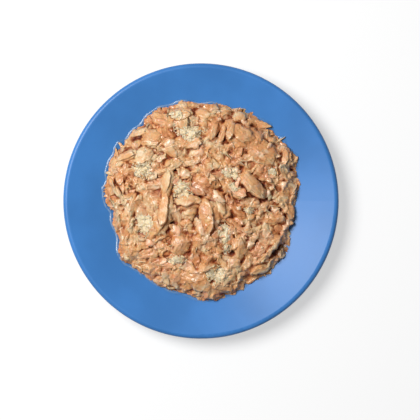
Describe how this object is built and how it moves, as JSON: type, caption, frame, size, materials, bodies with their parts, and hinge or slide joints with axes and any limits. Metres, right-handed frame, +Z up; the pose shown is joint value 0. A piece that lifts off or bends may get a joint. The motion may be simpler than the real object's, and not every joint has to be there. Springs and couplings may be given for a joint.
{
  "type": "plate of flaked fish cat food",
  "caption": "Shallow blue glazed saucer with a foot ring and rounded lip, holding one low uneven heap of flaked fish in gravy.",
  "frame": {"origin": "centre of the foot ring's underside, on the saucer's axis", "axes": "+Z up along the saucer's axis; +X to the right and +Y away as the dish is seen from above"},
  "size_m": [0.15, 0.15, 0.0216],
  "materials": {
    "blue_glaze": "smooth satin-gloss mid-blue glaze over the whole dish",
    "fish_in_gravy": "wet, fibrous, beige to salmon-pink flakes with darker red-brown hollows",
    "pale_flakes": "moist cream-coloured crumbly shreds",
    "clear_gravy": "thin clear wet film round the heap"
  },
  "bodies": {
    "root": {"saucer": "blue_glaze", "flaked_fish": "fish_in_gravy"}
  },
  "joints": []
}
